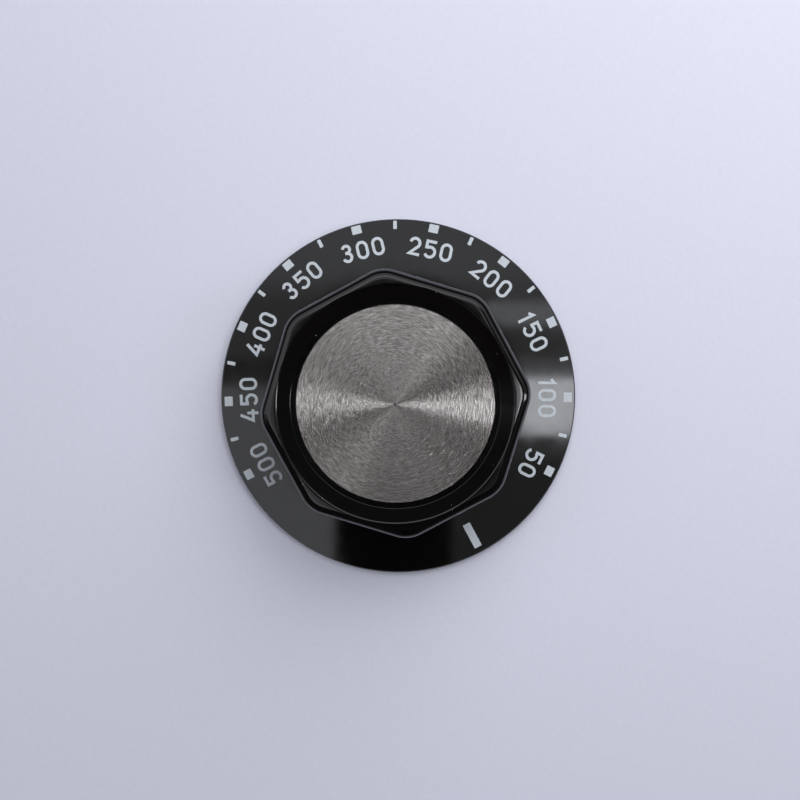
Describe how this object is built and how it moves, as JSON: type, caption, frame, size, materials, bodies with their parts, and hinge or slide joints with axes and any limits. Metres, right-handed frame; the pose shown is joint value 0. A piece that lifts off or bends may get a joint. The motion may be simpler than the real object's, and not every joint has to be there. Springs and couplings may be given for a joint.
{
  "type": "oven temperature control knob",
  "caption": "Round control knob with an octagonal glossy black grip, dished top and spun aluminium cap on a printed dial plate; a split D-shaped hub behind takes the control shaft.",
  "frame": {"origin": "centre of the dial plate's back face, on the shaft's axis", "axes": "+Z out of the knob's face along the shaft's axis, -Y towards the dial's pointer line, +X to the right with the pointer below"},
  "size_m": [0.07, 0.07, 0.02],
  "materials": {
    "grip_black": "polished black moulding",
    "dial_black": "glossy black plate",
    "dial_print": "screen-printed white ink",
    "spun_aluminium": "spun on a lathe, fine concentric lines",
    "spring_steel": "rolled strip"
  },
  "bodies": {
    "root": {"grip": "grip_black", "dial_plate": "dial_black", "cap_inlay": "spun_aluminium", "hub_clip": "spring_steel"}
  },
  "joints": []
}
